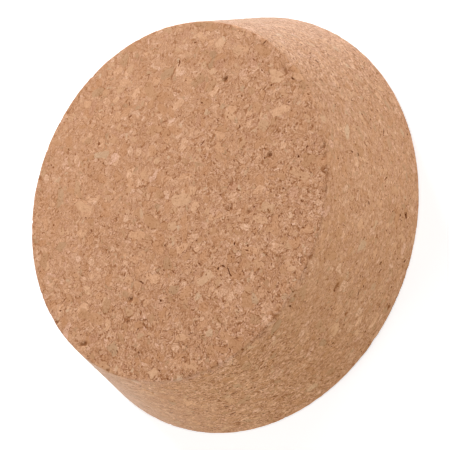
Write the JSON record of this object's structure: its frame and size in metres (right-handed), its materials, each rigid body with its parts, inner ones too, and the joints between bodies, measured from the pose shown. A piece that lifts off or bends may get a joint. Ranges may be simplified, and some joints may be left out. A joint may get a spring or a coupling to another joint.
{
  "type": "cork stopper",
  "caption": "Wide, short tapered stopper of pressed cork granules that plugs the round mouth of a jar or crock.",
  "frame": {"origin": "centre of the wide end's flat face, which rests on the surface", "axes": "+Z along the stopper's axis, from the wide end to the narrow end; it is round about Z, so X and Y are free"},
  "size_m": [0.0996, 0.0996, 0.0245],
  "materials": {
    "cork": "matt, ground granular cork with fine dark pores"
  },
  "bodies": {
    "root": {"stopper": "cork"}
  },
  "joints": []
}
